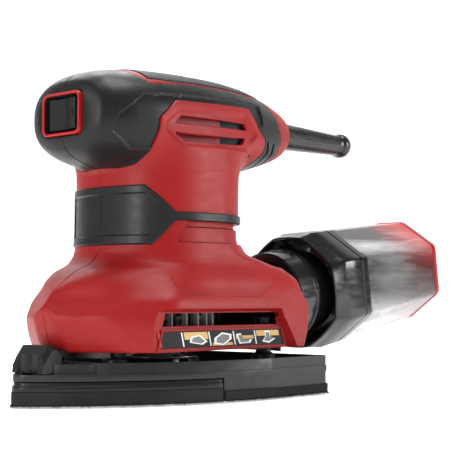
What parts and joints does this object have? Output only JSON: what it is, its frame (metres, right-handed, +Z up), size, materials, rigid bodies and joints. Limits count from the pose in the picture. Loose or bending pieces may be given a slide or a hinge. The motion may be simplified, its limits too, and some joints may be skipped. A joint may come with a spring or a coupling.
{
  "type": "detail mouse sander",
  "caption": "Palm-grip orbital detail sander with a teardrop pad, removable nose plate, rocker switch and pull-off clear dust canister.",
  "frame": {"origin": "on the sanding face, under the motor shaft", "axes": "+Z up along the motor shaft, -Y towards the nose of the pad, +Y towards the dust canister, +X the tool's left side"},
  "size_m": [0.098, 0.2716, 0.1418],
  "materials": {
    "red_shell": "satin moulded red nylon with a fine grain",
    "red_trim": "glossy red plastic",
    "black_grip": "soft-touch matt black overmould",
    "black_rubber": "smooth black rubber",
    "black_plastic": "fine-grained black glass-filled nylon",
    "label_black": "printed film label with plain pictograms",
    "screw_steel": "zinc-plated steel",
    "bearing_steel": "ground bearing steel",
    "lamination": "varnished laminated iron",
    "copper": "varnished copper",
    "brass": "stamped brass",
    "carbon": "sintered carbon",
    "cast_zinc": "die-cast metal with a dull skin",
    "capacitor_blue": "moulded resin block",
    "fan_nylon": "natural nylon",
    "foam_black": "closed-cell foam",
    "hook_sheet": "woven hook-and-loop sheet",
    "filter_paper": "pleated filter paper",
    "clear_bin": "clear moulded plastic, lightly scratched"
  },
  "bodies": {
    "housing": {"left_housing": "red_shell", "right_housing": "red_shell", "left_grip": "black_grip", "right_grip": "black_grip", "top_grip_pad": "black_grip", "left_waist_band": "black_grip", "right_waist_band": "black_grip", "left_label": "label_black", "right_label": "label_black", "housing_screws": "screw_steel", "switch_bezel": "red_trim", "switch_body": "black_plastic", "cord_guard": "black_rubber", "cord_clamp": "black_plastic", "cord_clamp_base": "black_plastic", "cord_clamp_screws": "screw_steel", "upper_bearing_outer": "bearing_steel", "lower_bearing_outer": "bearing_steel", "stator_core": "lamination", "field_coils": "copper", "motor_bracket": "cast_zinc", "motor_pillars": "screw_steel", "fan_guard": "black_plastic", "upper_bearing_boot": "black_rubber", "bearing_saddle": "black_plastic", "brush_holders": "brass", "carbon_brushes": "carbon", "brush_springs": "screw_steel", "suppressor": "capacitor_blue", "dust_spigot": "black_plastic"},
    "rocker": {"rocker_button": "black_plastic"},
    "rotor": {"armature_shaft": "bearing_steel", "armature_core": "lamination", "armature_windings": "copper", "commutator": "copper", "fan": "fan_nylon", "eccentric_hub": "cast_zinc", "upper_bearing_inner": "bearing_steel", "lower_bearing_inner": "bearing_steel", "pad_bearing_inner": "bearing_steel"},
    "base": {"platen": "black_plastic", "pad_bearing_outer": "bearing_steel", "bearing_retainer": "screw_steel", "retainer_screws": "screw_steel", "support_posts": "black_rubber", "rear_foam": "foam_black", "rear_hook_sheet": "hook_sheet"},
    "latch": {"nose_latch": "black_plastic"},
    "tip": {"tip_plate": "black_plastic", "tip_foam": "foam_black", "tip_hook_sheet": "hook_sheet"},
    "dust_cap": {"dust_box_cap": "black_plastic", "collar_seal": "black_rubber", "filter_frame": "black_plastic", "pleated_filter": "filter_paper"},
    "dust_bin": {"canister": "clear_bin", "end_cap": "red_trim"}
  },
  "joints": [
    {"name": "rotor_spin", "type": "hinge", "parent": "housing", "child": "rotor", "pos_m": [0, 0, 0.06], "axis": [0, 0, 1], "continuous": true},
    {"name": "base_orbit", "type": "hinge", "parent": "rotor", "child": "base", "pos_m": [0.0008, 0, 0.0135], "axis": [0, 0, 1], "continuous": true},
    {"name": "switch_rock", "type": "hinge", "parent": "housing", "child": "rocker", "pos_m": [0, -0.0485, 0.1181], "axis": [0, 0, 1], "range_deg": [0, 10]},
    {"name": "latch_slide", "type": "slide", "parent": "base", "child": "latch", "axis": [0, -1, 0], "range_m": [0, 0.006]},
    {"name": "tip_pull", "type": "slide", "parent": "base", "child": "tip", "axis": [0, -1, 0], "range_m": [0, 0.05]},
    {"name": "dust_box_pull", "type": "slide", "parent": "housing", "child": "dust_cap", "axis": [0, 0.9903, 0.1392], "range_m": [0, 0.05]},
    {"name": "bin_pull", "type": "slide", "parent": "dust_cap", "child": "dust_bin", "axis": [0, 0.9903, 0.1392], "range_m": [0, 0.06]}
  ],
  "couplings": [
    {"joint": "base_orbit", "follows": "rotor_spin", "ratio": -1}
  ]
}
